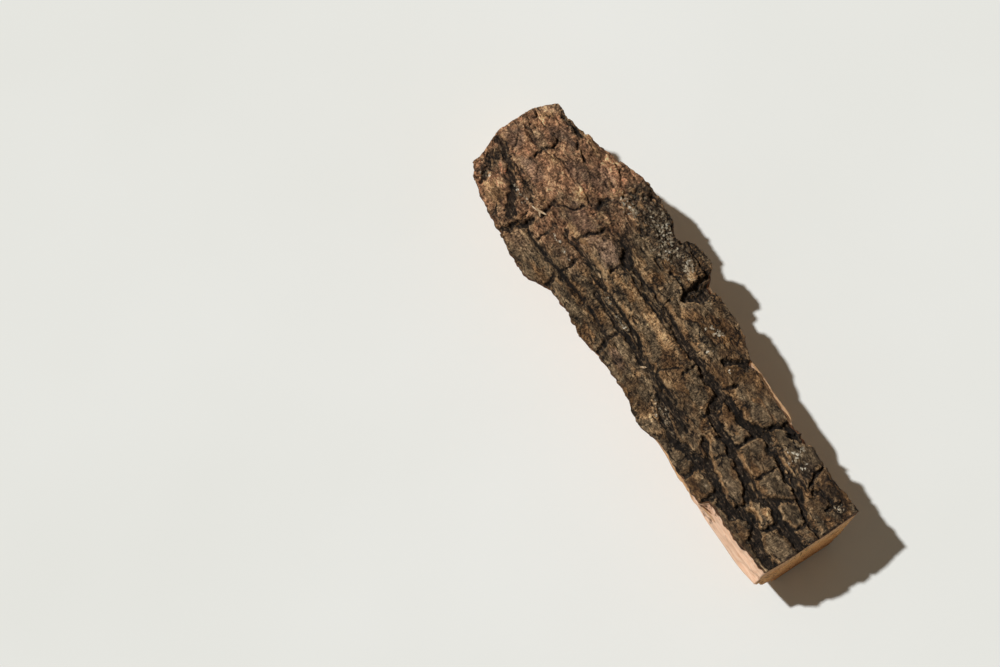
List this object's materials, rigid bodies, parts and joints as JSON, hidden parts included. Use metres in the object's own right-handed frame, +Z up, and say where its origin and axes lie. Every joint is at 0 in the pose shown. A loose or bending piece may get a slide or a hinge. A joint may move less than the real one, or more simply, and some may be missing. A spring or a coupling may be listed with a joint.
{
  "type": "split log",
  "caption": "Split firewood log with thick furrowed bark on its round side, pale radial split faces and sawn ends, lying bark up on a narrow split face.",
  "frame": {"origin": "middle of the box around the log, at the level of the split face it rests on", "axes": "+X along the grain towards the end where the pale split facet shows beside the bark, +Y across the log towards its steeper split face, +Z up through the bark"},
  "size_m": [0.4, 0.1234, 0.084],
  "materials": {
    "oak": "rough weathered bark over bare split wood"
  },
  "bodies": {
    "root": {"split_log": "oak"}
  },
  "joints": []
}
